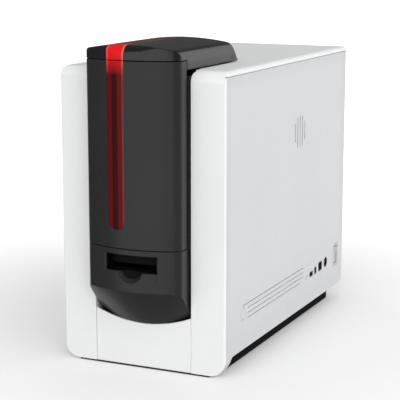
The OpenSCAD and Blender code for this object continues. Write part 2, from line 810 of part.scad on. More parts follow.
// Outline of a chassis plate in y and z with its bearing holes
module plate_outline() {
    difference() {
        translate([plate_y0, wall]) square([plate_y1 - plate_y0, plate_top - wall]);
        corner_cut([plate_y1, plate_top], [-1, -1], 20);
        corner_cut([plate_y0, plate_top], [1, -1], 8);
        for (c = [feed, clean, flip, drive, pinch, heat, press, platen, head_pivot])
            translate(c) circle(shaft_r + fit);
    }
}

// Foot along a plate's lower edge
module plate_foot(s) {
    box([s > 0 ? plate_x : -plate_x - 12, plate_y0 + 20, wall], [s > 0 ? plate_x + 12 : -plate_x,
        plate_y1 - 20, wall + plate_t]);
}

module left_plate() placed() color(steel) {
    translate([-plate_x - plate_t / 2, 0, 0]) along_x(plate_t) difference() {
        plate_outline();
        // the spools are put in through these
        for (p = [[supply, ribbon_r], [takeup, ribbon_r], [film_a, film_r], [film_b, film_b_r]])
            translate(p[0]) circle(p[1] + 3);
    }
    plate_foot(-1);
}

module right_plate() placed() color(steel) {
    difference() {
        translate([plate_x + plate_t / 2, 0, 0]) along_x(plate_t) difference() {
            plate_outline();
            for (c = [supply, takeup, film_a, film_b]) translate(c) circle(shaft_r + fit);
            translate(idler) circle(stud_r + fit / 2);
            translate(motor_c) circle(boss_r + 0.2);
        }
    }
    plate_foot(1);
}

module tie_bars() placed() color(steel) for (c = bars) rod_x(bar_r, -plate_x, plate_x, c[0], c[1]);

module path_roller(c, r, half = 30) {
    roller(c, r, half, -plate_x - plate_t, plate_x + plate_t);
}

module feed_roller() placed() color("dimgray") path_roller(feed, feed_r);
module cleaning_roller() placed() color("steelblue") path_roller(clean, clean_r);
module drive_roller() placed() color("dimgray") roller(drive, feed_r, 30, -plate_x - plate_t, gear_x + gear_t);
module pinch_roller() placed() color("dimgray") path_roller(pinch, pinch_r);
module heat_roller() placed() color("firebrick") path_roller(heat, heat_r);
module pressure_roller() placed() color("dimgray") path_roller(press, press_r);
module platen_roller() placed() color("dimgray") path_roller(platen, platen_r);

// Turning card holder: two cheeks, upper and lower card guides, end shafts
module flipper() placed() color(charcoal) {
    for (s = [-1, 1]) {
        translate([s * 36, 0, 0]) along_x(3) intersection() {
            translate(flip) circle(flip_r);
            translate(flip - [flip_r, 12]) square([2 * flip_r, 24]);
        }
        rod_x(shaft_r, s > 0 ? 37 : -plate_x - plate_t, s > 0 ? plate_x + plate_t : -37, flip[0], flip[1]);
    }
    for (s = [-1, 1]) translate([0, flip[0], flip[1]]) box([-36, -24, s > 0 ? 2.5 : -5], [36, 24, s > 0 ? 5 : -2.5]);
}

module print_head() placed() color("silver") difference() {
    union() {
        // head bar with its heating line facing the platen
        along_x(64) polygon([[platen[0] + platen_r + 0.4, platen[1] - 2], [platen[0] + platen_r + 0.4, platen[1] + 2],
            [platen[0] + platen_r + 4, platen[1] + 8], [platen[0] + platen_r + 12, platen[1] + 8],
            [platen[0] + platen_r + 12, platen[1] - 8], [platen[0] + platen_r + 4, platen[1] - 8]]);
        // arms up to the shaft
        for (s = [-1, 1]) translate([s * 30, 0, 0]) along_x(3) {
            translate(head_pivot) circle(8);
            translate([head_pivot[0] - 5, platen[1]]) square([9, head_pivot[1] - platen[1]]);
        }
        // cooling fins
        for (i = [-4 : 4]) box([i * 6 - 1, platen[0] + platen_r + 11, platen[1] - 6],
            [i * 6 + 1, platen[0] + platen_r + 16, platen[1] + 8]);
    }
    rod_x(shaft_r + fit, -60, 60, head_pivot[0], head_pivot[1]);
}

module head_shaft() placed() color(steel)
    rod_x(shaft_r, -plate_x - plate_t, plate_x + plate_t, head_pivot[0], head_pivot[1]);

// Wound spool with two flanges on a spindle that runs in the right plate
module spool(c, roll_r, flange_r) {
    rod_x(roll_r, -30, 30, c[0], c[1]);
    for (x = [-30 - flange_t, 30]) rod_x(flange_r, x, x + flange_t, c[0], c[1]);
    rod_x(shaft_r, 30, plate_x + plate_t, c[0], c[1]);
    rod_x(6, 30, plate_x - 0.5, c[0], c[1]);
}

module ribbon_supply() placed() color("black") spool(supply, ribbon_r - 2, ribbon_r);
module ribbon_takeup() placed() color("black") spool(takeup, ribbon_r - 7, ribbon_r);
module film_supply() placed() color("gainsboro") spool(film_a, film_r - 3, film_r);
module film_takeup() placed() color("gainsboro") spool(film_b, film_b_r - 8, film_b_r);

// ---- drive -----------------------------------------------------------

// Phase at which a gear of n teeth meshes with another one that lies in direction dir from it
function gear_phase(n, dir, other_n, other_phase) = dir + 180 / n + (dir + 180 - other_phase) * other_n / n;

module gear_2d(n, bore) {
    pitch_r = n * gear_m / 2;
    half = PI * gear_m / 4 - 0.08;
    difference() {
        union() {
            circle(pitch_r - 1.2 * gear_m);
            for (i = [0 : n - 1]) rotate(i * 360 / n) polygon([
                [pitch_r - 1.6 * gear_m, -half - 0.4], [pitch_r, -half], [pitch_r + 0.9 * gear_m, -half + 0.4],
                [pitch_r + 0.9 * gear_m, half - 0.4], [pitch_r, half], [pitch_r - 1.6 * gear_m, half + 0.4]]);
        }
        circle(bore);
    }
}

module gear_at(c, n, phase, bore, x0 = gear_x) {
    translate([x0 + gear_t / 2, 0, 0]) along_x(gear_t) translate(c) rotate(phase) gear_2d(n, bore);
}

idler_phase = 0;
module idler_gear() placed() color("ivory") gear_at(idler, idler_n, idler_phase, stud_r + fit);
module drive_gear() placed() color("ivory")
    gear_at(drive, drive_n, gear_phase(drive_n, idler_dir, idler_n, idler_phase), shaft_r + fit / 2);

// Pinion with the motor's shaft
module motor_pinion() placed() color("goldenrod") {
    gear_at(motor_c, pinion_n, gear_phase(pinion_n, pinion_dir + 180, idler_n, idler_phase), motor_shaft_r / 2);
    rod_x(motor_shaft_r, plate_x - motor_l / 2, gear_x + gear_t + 1, motor_c[0], motor_c[1]);
}

module idler_stud() placed() color(steel) {
    rod_x(stud_r, plate_x - 2, gear_x + gear_t + 1, idler[0], idler[1]);
    rod_x(stud_r + 2, gear_x + gear_t + 0.3, gear_x + gear_t + 2, idler[0], idler[1]);
}

module motor() placed() color("dimgray") difference() {
    union() {
        intersection() {
            translate([plate_x - motor_l / 2, 0, 0]) along_x(motor_l) rect_at(motor_c, [motor_w, motor_w]);
            rod_x(motor_w * 0.62, 0, plate_x, motor_c[0], motor_c[1]);
        }
        rod_x(boss_r, plate_x - 1, plate_x + plate_t, motor_c[0], motor_c[1]);
    }
    rod_x(motor_shaft_r + fit, plate_x - motor_l / 2 - 0.5, plate_x + 5, motor_c[0], motor_c[1]);
}

// ---- fan, board and sockets ------------------------------------------

fan_hub_r = 8;
module fan_frame() placed() color("black") {
    difference() {
        translate([fan_x1 - fan_d / 2, 0, 0]) along_x(fan_d) rect_at([fan_y, fan_z], [fan_w, fan_w]);
        rod_x(fan_w / 2 - 1, fan_x1 - fan_d - 1, fan_x1 + 1, fan_y, fan_z);
    }
    // motor cup on three struts
    rod_x(fan_hub_r, fan_x1 - fan_d, fan_x1 - fan_d + 1.5, fan_y, fan_z);
    rod_x(1.5, fan_x1 - fan_d, fan_x1 - 1, fan_y, fan_z);
    for (i = [0 : 2]) translate([fan_x1 - fan_d, fan_y, fan_z]) rotate([i * 120 + 20, 0, 0])
        translate([0, fan_hub_r - 1, -1]) cube([1.5, fan_w / 2 - fan_hub_r + 0.6, 2]);
}

module fan_rotor() placed() color("dimgray") difference() {
    intersection() {
        union() {
            rod_x(fan_hub_r, fan_x1 - fan_d + 2, fan_x1 - 1.5, fan_y, fan_z);
            for (i = [0 : 6]) translate([fan_x1 - fan_d / 2, fan_y, fan_z]) rotate([i * 360 / 7, 0, 0])
                translate([0, fan_hub_r - 1, 0]) rotate([0, 40, 0]) cube([1.2, fan_w, 8]);
        }
        rod_x(fan_w / 2 - 1.8, fan_x1 - fan_d + 2, fan_x1 - 1.5, fan_y, fan_z);
    }
    rod_x(1.5 + fit, 0, side_x, fan_y, fan_z);
}

board_t = 1.6;
board = [[56, 246], [panel_x - 1, 352]];
post_r = 4;
board_screw_r = 1.5;
board_holes = [[66, 251], [66, 347], [84, 251], [84, 347]];

module main_board() placed() color("darkgreen") difference() {
    box([board[0][0], board[0][1], socket_floor - board_t], [board[1][0], board[1][1], socket_floor]);
    for (p = board_holes) translate([p[0], p[1], 0]) cylinder(r = board_screw_r + 0.2, h = socket_floor + 1);
}

module board_screws() placed() color(steel) for (p = board_holes) translate([p[0], p[1], 0]) {
    translate([0, 0, socket_floor]) cylinder(r = 2.8, h = 2);
    translate([0, 0, socket_floor - 8]) cylinder(r = board_screw_r, h = 9);
}

socket_x = panel_x + panel_t - 0.8;

// Sheet-metal shell of a socket on the board, open towards the side panel
module socket_shell(p, depth, t = 0.6) {
    difference() {
        box([socket_x - depth, p[0] - p[1] / 2, socket_floor], [socket_x, p[0] + p[1] / 2, socket_floor + p[2]]);
        box([socket_x - depth + 1, p[0] - p[1] / 2 + t, socket_floor + t],
            [socket_x + 1, p[0] + p[1] / 2 - t, socket_floor + p[2] - t]);
    }
}

module usb_a_socket() placed() color("silver") {
    socket_shell(usb_a, 14);
    box([socket_x - 13.5, usb_a[0] - 5, socket_floor + usb_a[2] - 1.9],
        [socket_x - 3, usb_a[0] + 5, socket_floor + usb_a[2] - 1]);
}

module usb_b_socket() placed() color("silver") {
    socket_shell(usb_b, 16);
    box([socket_x - 15.5, usb_b[0] - 2.6, socket_floor + 3.4], [socket_x - 6, usb_b[0] + 2.6, socket_floor + 5.6]);
}

module network_socket() placed() color("silver") socket_shell(network, 18, 1);

module power_socket() placed() color("black") difference() {
    union() {
        box([socket_x - 14, power_y - 7, socket_floor], [socket_x - 3, power_y + 7, power_z + 7]);
        rod_x(power_r, socket_x - 6, socket_x, power_y, power_z);
    }
    rod_x(power_r - 1, socket_x - 9, socket_x + 1, power_y, power_z);
}

rocker_w = [12.6, 24];
rocker_x = panel_x - 2.6;
rocker_tilt = 7;

module switch_frame() placed() color("black") difference() {
    union() {
        translate([panel_x + panel_t - 0.5, 0, 0]) along_x(1) rect_at(switch_c, switch_frame_w);
        translate([panel_x - 5, 0, 0]) along_x(15) rect_at(switch_c, switch_hole_w);
    }
    translate([panel_x, 0, 0]) along_x(22) rect_at(switch_c, rocker_w + [0.4, 0.6]);
    translate([rocker_x, switch_c[0] + 20, switch_c[1]]) rotate([90, 0, 0]) cylinder(r = 1.5 + fit, h = 40);
}

module power_switch() placed() color("gainsboro") {
    translate([rocker_x, switch_c[0], switch_c[1]]) rotate([0, rocker_tilt, 0]) {
        difference() {
            translate([-4, -rocker_w[0] / 2, -rocker_w[1] / 2 + 0.5]) cube([8, rocker_w[0], rocker_w[1] - 1]);
            translate([34, 20, 0]) rotate([90, 0, 0]) cylinder(r = 31, h = 40);
        }
    }
    translate([rocker_x, switch_c[0] + switch_hole_w[0] / 2, switch_c[1]]) rotate([90, 0, 0])
        cylinder(r = 1.5, h = switch_hole_w[0]);
}

// ---- pieces drawn -----------------------------------------------------

housing();
centre_fascia();
right_panel();
service_door();
rear_cover();
base_tray();
front_foot();
rear_feet();
tower_frame();
hood();
hood_window();
hood_hinge_pins();
feeder_door();
door_window();
door_hinge_pins();
light_bar();
slot_module();
exit_guide();
exit_roller();
card_weight();
pick_roller();
left_plate();
right_plate();
tie_bars();
feed_roller();
cleaning_roller();
flipper();
drive_roller();
pinch_roller();
heat_roller();
pressure_roller();
platen_roller();
print_head();
head_shaft();
ribbon_supply();
ribbon_takeup();
film_supply();
film_takeup();
motor();
motor_pinion();
idler_gear();
drive_gear();
idler_stud();
fan_frame();
fan_rotor();
main_board();
usb_a_socket();
usb_b_socket();
network_socket();
power_socket();
switch_frame();
power_switch();
service_hinge_pins();
board_screws();
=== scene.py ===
"""Card printer: finishes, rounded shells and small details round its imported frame."""

import json
import math

import bmesh
import bpy
from bpy.props import FloatProperty, FloatVectorProperty, IntProperty, PointerProperty
from mathutils import Matrix, Vector


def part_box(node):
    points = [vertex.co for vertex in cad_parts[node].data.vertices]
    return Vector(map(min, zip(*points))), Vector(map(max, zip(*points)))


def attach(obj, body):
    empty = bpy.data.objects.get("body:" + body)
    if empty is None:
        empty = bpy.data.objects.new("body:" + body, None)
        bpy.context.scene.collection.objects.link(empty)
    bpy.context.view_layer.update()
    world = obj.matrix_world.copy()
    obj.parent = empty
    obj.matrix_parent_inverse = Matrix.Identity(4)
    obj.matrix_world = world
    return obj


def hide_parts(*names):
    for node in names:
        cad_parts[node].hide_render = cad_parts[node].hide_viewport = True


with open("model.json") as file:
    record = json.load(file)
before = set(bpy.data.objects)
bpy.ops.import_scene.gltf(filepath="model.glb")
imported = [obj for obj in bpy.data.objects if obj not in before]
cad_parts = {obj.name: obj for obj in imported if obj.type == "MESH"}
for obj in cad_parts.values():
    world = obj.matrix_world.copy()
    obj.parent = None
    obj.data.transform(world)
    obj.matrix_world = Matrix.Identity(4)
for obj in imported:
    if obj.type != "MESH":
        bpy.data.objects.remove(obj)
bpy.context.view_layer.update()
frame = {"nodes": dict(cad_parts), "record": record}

bl_info = {
    "name": "Card printer",
    "version": (1, 0, 0),
    "blender": (4, 5, 0),
    "location": "3D View > Sidebar > Card printer",
    "description": "Rounded shells, finishes and details of a desk-top card printer",
    "category": "Object",
}

MM = 0.001
EVEN = (1, 1, 1)
COVER_GRAIN = (1500, 0.01, 0.1)
WHITE = (1, 1, 1, 1)


# ---------------------------------------------------------------- sizes and colours


def colour_property(name, description, default):
    return FloatVectorProperty(
        name=name, description=description, default=default, subtype="COLOR", size=3, min=0.0, max=1.0
    )


def length_property(name, description, default):
    return FloatProperty(
        name=name, description=description, default=default, min=0.0, subtype="DISTANCE", unit="LENGTH"
    )


def share_property(name, description, default):
    return FloatProperty(
        name=name, description=description, default=default, min=0.0, max=1.0, subtype="FACTOR"
    )


def level_property(name, description, default):
    return FloatProperty(name=name, description=description, default=default, min=0.0)


def angle_property(name, description, degrees):
    return FloatProperty(
        name=name, description=description, default=math.radians(degrees),
        subtype="ANGLE", unit="ROTATION",
    )


def steps_property(name, description, default):
    return IntProperty(name=name, description=description, default=default, min=1)


class ShellSettings(bpy.types.PropertyGroup):
    """Colours and edge radii of the printer's pieces"""

    white: colour_property("White", "Moulded housing and fascia", (0.82, 0.825, 0.83))
    panel_white: colour_property("Panel white", "Side panel and service door", (0.655, 0.66, 0.675))
    # Painted shade: the share of the panel white that the panel's edge band keeps
    panel_edge_shade: share_property("Panel edge", "Share of the panel white that its edge band keeps", 0.935)
    charcoal: colour_property("Charcoal", "Hood", (0.009, 0.009, 0.0094))
    door_charcoal: colour_property(
        "Door charcoal", "Feeder door and slot module", (0.0225, 0.0225, 0.023)
    )
    # Painted light and shade of the window: its glow, its dark core and the highlights on its rims
    painted_glow_red: colour_property("Bright red", "Top of the window", (0.72, 0.010, 0.012))
    dark_red: colour_property("Dark red", "Core of the window", (0.036, 0.004, 0.004))
    edge_red: colour_property("Edge red", "Bands beside the window's core", (0.11, 0.005, 0.006))
    rim_highlight_red: colour_property("Window rim", "Right edge of the window", (0.15, 0.035, 0.035))
    dark_rim: colour_property("Dark rim", "Left edge of the window", (0.06, 0.012, 0.012))
    painted_glow_rim: colour_property(
        "Bright rim", "Edges of the bright part of the window", (0.75, 0.11, 0.10)
    )
    glow_from: length_property(
        "Glow from", "Height at which the window turns bright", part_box("door_window")[1].z - 15.9 * MM
    )
    glow_fade: length_property("Glow fade", "Height over which it fades", 22 * MM)
    shell_edge: length_property("Shell edge", "Edge radius of the white shells", 1.2 * MM)
    cover_edge: length_property("Cover edge", "Edge radius of the charcoal covers", 0.8 * MM)
    fine_edge: length_property("Fine edge", "Edge radius of small pieces", 0.3 * MM)
    edge_steps: steps_property("Edge steps", "Faces across a rounded edge of a shell or cover", 3)
    fine_steps: steps_property("Fine steps", "Faces across a rounded edge of an inner piece", 2)


class StageSettings(bpy.types.PropertyGroup):
    """Camera, floor and lamps"""

    camera_place: FloatVectorProperty(
        name="Camera place", description="Where the camera stands", default=(0.6642, -1.4693, 0.4784),
        subtype="TRANSLATION", unit="LENGTH",
    )
    camera_turn: angle_property("Camera turn", "Turn about the vertical", 24.79)
    camera_pitch: angle_property("Camera pitch", "Tilt below the horizon", 11.06)
    lens: level_property("Lens", "Focal length in millimetres", 118.4)
    floor_size: length_property("Floor size", "Side of the square floor", 60.0)
    world_level: level_property("World level", "Strength of the even light", 0.67)
    dark_level: level_property("Dark level", "What reflections see past the cards", 0.12)
    right_sun: level_property("Right lamp", "Strength of the lamp on the right", 1.1)
    front_sun: level_property("Front lamp", "Strength of the lamp in front", 0.95)
    lamp_spread: angle_property("Lamp spread", "Angle over which each lamp is spread", 60)
    front_card: level_property("Front card", "Brightness of the card in front", 0.92)
    back_card: level_property("Back card", "Brightness of the card behind", 1.0)
    # Painted light on the floor for the camera, kept low near the printer as a painted shade round its
    # base
    floor_lift: level_property("Floor lift", "Light added to the floor for the camera", 0.12)
    far_lift: level_property("Far lift", "The same far from the printer", 0.5)
    lift_from: length_property("Lift from", "Distance at which the floor starts to brighten", 0.24)
    lift_to: length_property("Lift to", "Distance at which it stops", 1.0)


class Finish:
    """A material under construction: one Principled shader and the nodes that feed it"""

    def __init__(self, name, colour, roughness, metallic=0.0, **fixed):
        self.material = bpy.data.materials.new(name)
        self.material.use_nodes = True
        self.tree = self.material.node_tree
        self.shader = self.tree.nodes["Principled BSDF"]
        self.place = self.node("ShaderNodeTexCoord").outputs["Object"]
        self.colour = colour
        self.set("Base Color", (*colour, 1.0))
        self.set("Roughness", roughness)
        self.set("Metallic", metallic)
        for socket, value in fixed.items():
            self.set(socket.replace("_", " ").title().replace("Ior", "IOR"), value)

    def node(self, kind, **values):
        made = self.tree.nodes.new(kind)
        for key, value in values.items():
            setattr(made, key, value)
        return made

    def set(self, socket, value):
        self.shader.inputs[socket].default_value = value

    def link(self, source, target):
        self.tree.links.new(source, target)

    def axes(self):
        """X, Y and Z of the place on the piece, in metres"""
        split = self.node("ShaderNodeSeparateXYZ")
        self.link(self.place, split.inputs["Vector"])
        return split.outputs

    def noise(self, scale, detail=3.0, stretch=EVEN):
        """Noise over the piece in cycles per metre, stretched along its axes"""
        mapping = self.node("ShaderNodeMapping")
        mapping.inputs["Scale"].default_value = stretch
        self.link(self.place, mapping.inputs["Vector"])
        noise = self.node("ShaderNodeTexNoise")
        noise.inputs["Scale"].default_value = scale
        noise.inputs["Detail"].default_value = detail
        self.link(mapping.outputs["Vector"], noise.inputs["Vector"])
        return noise.outputs["Fac"]

    def ranged(self, value, low, high, start=0.3, end=0.7):
        """A value remapped from start..end, by default what a noise spans, to low..high"""
        remap = self.node("ShaderNodeMapRange")
        sockets = "From Min", "From Max", "To Min", "To Max"
        for socket, number in zip(sockets, (start, end, low, high)):
            remap.inputs[socket].default_value = number
        self.link(value, remap.inputs["Value"])
        return remap.outputs["Result"]

    def product(self, first, second):
        times = self.node("ShaderNodeMath", operation="MULTIPLY")
        self.link(first, times.inputs[0])
        self.link(second, times.inputs[1])
        return times.outputs["Value"]

    def within(self, value, low, high, rise, fall):
        """1 between two limits, with a soft start and end of the given lengths inside them"""
        return self.product(
            self.ranged(value, 0, 1, low, low + rise), self.ranged(value, 0, 1, high, high - fall)
        )

    def bands(self, value, stops):
        """Colours laid side by side along a value"""
        ramp = self.node("ShaderNodeValToRGB")
        elements = ramp.color_ramp.elements
        while len(elements) < len(stops):
            elements.new(0.5)
        for element, (position, colour) in zip(elements, stops):
            element.position = position
            element.color = (*colour, 1.0)
        self.link(value, ramp.inputs["Fac"])
        return ramp.outputs["Color"]

    def paint(self, first, second, factor):
        """Colours the surface from the first colour, where the factor is 0, to the second"""
        mix = self.node("ShaderNodeMix", data_type="RGBA")
        for socket, colour in (("A", first), ("B", second)):
            if isinstance(colour, bpy.types.NodeSocket):
                self.link(colour, mix.inputs[socket])
            else:
                mix.inputs[socket].default_value = (*colour, 1.0)
        self.link(factor, mix.inputs["Factor"])
        self.link(mix.outputs["Result"], self.shader.inputs["Base Color"])
        return mix.outputs["Result"]

    def mottle(self, scale, spread):
        """Slow variation of the colour, a share of itself lighter and darker"""
        darker = [channel * (1 - spread) for channel in self.colour]
        lighter = [min(1.0, channel * (1 + spread)) for channel in self.colour]
        return self.paint(darker, lighter, self.ranged(self.noise(scale), 0, 1))

    def vary_roughness(self, scale, low, high, stretch=EVEN):
        noise = self.noise(scale, stretch=stretch)
        self.link(self.ranged(noise, low, high), self.shader.inputs["Roughness"])

    def grain(self, scale, depth, strength, stretch=EVEN):
        """Raised surface texture of the given depth in millimetres"""
        bump = self.node("ShaderNodeBump")
        bump.inputs["Strength"].default_value = strength
        bump.inputs["Distance"].default_value = depth * MM
        self.link(self.noise(scale, 2.0, stretch), bump.inputs["Height"])
        self.link(bump.outputs["Normal"], self.shader.inputs["Normal"])


def plain_finish(name, colour, roughness, mottle, gloss=None, grain=None, **fixed):
    """One colour with its mottle and, where they are given, an uneven gloss and a raised grain"""
    finish = Finish(name, colour, roughness, **fixed)
    finish.mottle(*mottle)
    if gloss:
        finish.vary_roughness(*gloss)
    if grain:
        finish.grain(*grain)
    return finish.material


def white_shell(shell):
    """Fine spark-eroded texture of a white moulding"""
    return plain_finish(
        "white_shell", shell.white, 0.42, ior=1.5,
        mottle=(9, 0.012), gloss=(60, 0.38, 0.48), grain=(2600, 0.03, 0.35),
    )


def white_panel(shell):
    """Panel white, with painted shade: a deeper tone in a soft band round the edge, 90 mm deep along the
    bottom
    """
    bottom, top, front, back = (width * MM for width in (90, 16, 14, 22))
    finish = Finish("white_panel", shell.panel_white, 0.5, ior=1.5)
    place = finish.axes()
    lo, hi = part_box("right_panel")
    middle = finish.product(
        finish.within(place["Z"], lo.z, hi.z, bottom, top),
        finish.within(place["Y"], lo.y, hi.y, front, back),
    )
    # Painted shade: the edge band and the bottom are painted a share darker than the middle
    edge = [channel * shell.panel_edge_shade for channel in shell.panel_white]
    finish.paint(edge, finish.mottle(7, 0.012), middle)
    finish.vary_roughness(50, 0.45, 0.56)
    finish.grain(2200, 0.04, 0.35)
    return finish.material


def charcoal_cover(shell):
    """Satin charcoal of the hood"""
    return plain_finish(
        "charcoal_cover", shell.charcoal, 0.24, ior=1.5, specular_ior_level=0.7,
        mottle=(14, 0.06), gloss=(10, 0.21, 0.27), grain=COVER_GRAIN,
    )


def door_charcoal(shell):
    """Duller charcoal of the feeder door and its frame"""
    return plain_finish(
        "door_charcoal", shell.door_charcoal, 0.3, ior=1.5, specular_ior_level=0.32,
        mottle=(14, 0.06), gloss=(10, 0.27, 0.33), grain=COVER_GRAIN,
    )


def slot_charcoal(shell):
    """Charcoal of the slot module, with painted shade: matt black inside the card recess"""
    finish = Finish("slot_charcoal", shell.door_charcoal, 0.3, ior=1.5, specular_ior_level=0.32)
    place = finish.axes()
    lo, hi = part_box("slot_module")
    left, right = lo.x + 27 * MM, lo.x + 93 * MM
    bottom, top = hi.z - 34.3 * MM, hi.z - 4.3 * MM
    shallow, deep = lo.y + 4 * MM, lo.y + 6 * MM
    # Painted shade: the card recess is painted near black from 4 to 6 mm behind the module's front, and
    # duller there
    inside = finish.product(
        finish.within(place["X"], left, right, MM, MM), finish.within(place["Z"], bottom, top, MM, MM)
    )
    inside = finish.product(inside, finish.ranged(place["Y"], 0, 1, shallow, deep))
    finish.paint(shell.door_charcoal, (0.002, 0.002, 0.002), inside)
    finish.link(finish.ranged(inside, 0.3, 0.75, 0, 1), finish.shader.inputs["Roughness"])
    finish.grain(*COVER_GRAIN)
    return finish.material


def window_red(shell):
    """Tinted window with painted light and shade: a painted glow, bright where the light bar stands behind
    it, and deep red with a dark core of painted shade below
    """
    near, far, far_glow = 14 * MM, 24 * MM, 0.08
    finish = Finish("window_red", shell.dark_red, 0.2, ior=1.45, specular_ior_level=0.12)
    place = finish.axes()
    lo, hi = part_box("door_window")
    across = finish.ranged(place["X"], 0, 1, lo.x, hi.x)
    # Painted shade and highlight below the glow: a dark core where the inside shows through, and a painted
    # highlight on the right rim
    dark = finish.bands(across, (
        (0.0, shell.dark_rim), (0.07, shell.dark_rim), (0.10, shell.edge_red), (0.27, shell.edge_red),
        (0.34, shell.dark_red), (0.60, shell.dark_red), (0.66, shell.edge_red), (0.88, shell.edge_red),
        (0.91, shell.rim_highlight_red), (1.0, shell.rim_highlight_red),
    ))
    # Painted light: the glow of the light bar behind, with a painted highlight on the rims at both sides
    bright = finish.bands(across, (
        (0.0, shell.painted_glow_rim), (0.07, shell.painted_glow_rim), (0.10, shell.painted_glow_red),
        (0.89, shell.painted_glow_red), (0.92, shell.painted_glow_rim), (1.0, shell.painted_glow_rim),
    ))
    # The painted glow fades in upwards from the glow height and falls to a trace further back from the
    # front face
    height = finish.ranged(place["Z"], 0, 1, shell.glow_from, shell.glow_from + shell.glow_fade)
    depth = finish.ranged(place["Y"], 1, far_glow, lo.y + near, lo.y + far)
    finish.paint(dark, bright, finish.product(height, depth))
    finish.vary_roughness(40, 0.17, 0.24)
    return finish.material


def green_board(shell):
    """Solder mask over copper tracks"""
    green = (0.01, 0.11, 0.045)
    finish = Finish("green_board", green, 0.35)
    track = finish.node("ShaderNodeTexBrick", offset=0.35, squash=0.6)
    for socket, value in (
        ("Scale", 160.0), ("Mortar Size", 0.035), ("Brick Width", 0.9), ("Row Height", 0.28),
        ("Color1", (*green, 1.0)), ("Color2", (0.012, 0.125, 0.05, 1.0)),
        ("Mortar", (0.03, 0.2, 0.08, 1.0)),
    ):
        track.inputs[socket].default_value = value
    turn = finish.node("ShaderNodeMapping")
    turn.inputs["Rotation"].default_value = (math.pi / 2, 0, math.pi / 2)
    finish.link(finish.place, turn.inputs["Vector"])
    finish.link(turn.outputs["Vector"], track.inputs["Vector"])
    finish.link(track.outputs["Color"], finish.shader.inputs["Base Color"])
    finish.vary_roughness(200, 0.28, 0.42)
    return finish.material


# Mottle is a scale and a spread, gloss a scale and a range of roughness, grain a scale, a depth and
# a strength. Gloss and grain may end in a stretch.
PLAIN_FINISHES = {
    "black_plastic": dict(
        colour=(0.012, 0.012, 0.013), roughness=0.5, ior=1.48,
        mottle=(20, 0.1), gloss=(90, 0.42, 0.58), grain=(2400, 0.02, 0.25),
    ),
    # Black of the base tray, deepened to near black as painted shade under the printer
    "tray_black_and_shade": dict(
        colour=(0.003, 0.003, 0.003), roughness=0.8, specular_ior_level=0.1,
        mottle=(30, 0.2), grain=(1800, 0.05, 0.5),
    ),
    "foot_rubber": dict(
        colour=(0.012, 0.012, 0.012), roughness=0.85, mottle=(60, 0.15), grain=(1500, 0.06, 0.6),
    ),
    "roller_rubber": dict(
        colour=(0.02, 0.02, 0.021), roughness=0.7,
        mottle=(200, 0.12), grain=(4000, 0.03, 0.5, (0.2, 1, 1)),
    ),
    "tacky_blue": dict(
        colour=(0.02, 0.13, 0.42), roughness=0.25, coat_weight=0.3, coat_roughness=0.2,
        mottle=(120, 0.08), gloss=(300, 0.2, 0.34),
    ),
    "heat_red": dict(
        colour=(0.33, 0.035, 0.02), roughness=0.45, mottle=(150, 0.1), grain=(3000, 0.02, 0.3),
    ),
    "steel_plate": dict(
        colour=(0.50, 0.51, 0.52), roughness=0.4, metallic=1.0,
        mottle=(25, 0.08), gloss=(400, 0.32, 0.5, (1, 0.05, 1)), grain=(1800, 0.02, 0.3, (1, 0.04, 1)),
    ),
    "steel_rod": dict(
        colour=(0.6, 0.6, 0.6), roughness=0.22, metallic=1.0,
        mottle=(80, 0.05), gloss=(1500, 0.17, 0.3, (1, 0.02, 0.02)),
    ),
    "head_alloy": dict(
        colour=(0.42, 0.43, 0.45), roughness=0.38, metallic=1.0,
        mottle=(60, 0.08), grain=(2500, 0.02, 0.4),
    ),
    "ribbon_black": dict(
        colour=(0.01, 0.01, 0.011), roughness=0.2,
        mottle=(100, 0.2), gloss=(900, 0.14, 0.3, (1, 0.05, 0.05)),
    ),
    "clear_film": dict(
        colour=(0.42, 0.44, 0.45), roughness=0.16, ior=1.5, coat_weight=0.5, coat_roughness=0.1,
        mottle=(90, 0.08), gloss=(900, 0.1, 0.24, (1, 0.05, 0.05)),
    ),
    "motor_case": dict(
        colour=(0.33, 0.33, 0.34), roughness=0.35, metallic=1.0,
        mottle=(70, 0.1), gloss=(500, 0.28, 0.42),
    ),
    "brass_gear": dict(
        colour=(0.62, 0.42, 0.14), roughness=0.3, metallic=1.0,
        mottle=(160, 0.08), gloss=(700, 0.22, 0.38),
    ),
    "nylon_gear": dict(
        colour=(0.66, 0.65, 0.58), roughness=0.45, subsurface_weight=0.1,
        mottle=(90, 0.04), grain=(2500, 0.02, 0.3),
    ),
    "socket_metal": dict(
        colour=(0.62, 0.62, 0.6), roughness=0.28, metallic=1.0,
        mottle=(120, 0.06), gloss=(600, 0.22, 0.36),
    ),
    "grey_rocker": dict(
        colour=(0.52, 0.525, 0.53), roughness=0.5, mottle=(60, 0.03), grain=(2600, 0.03, 0.3),
    ),
}
SHAPED_FINISHES = {
    "white_shell": white_shell, "white_panel": white_panel, "charcoal_cover": charcoal_cover,
    "door_charcoal": door_charcoal, "slot_charcoal": slot_charcoal, "window_red": window_red,
    "green_board": green_board,
}
SLOT_FINISH = {"red_window": "window_red", "dark_red_window": "window_red"}
# The base tray's finish is deepened with painted shade
NODE_FINISH = {
    "slot_module": "slot_charcoal", "feeder_door": "door_charcoal", "tower_frame": "door_charcoal",
    "base_tray": "tray_black_and_shade",
}
made_finishes = {}


def finish_of(node, slot):
    """A node's own material, or else the one that stands for its slot in the record, made once"""
    name = NODE_FINISH.get(node) or SLOT_FINISH.get(slot, slot)
    if name not in made_finishes:
        if name in PLAIN_FINISHES:
            made_finishes[name] = plain_finish(name, **PLAIN_FINISHES[name])
        else:
            made_finishes[name] = SHAPED_FINISHES[name](bpy.context.scene.printer_shell)
    return made_finishes[name]


# ---------------------------------------------------------------- pieces

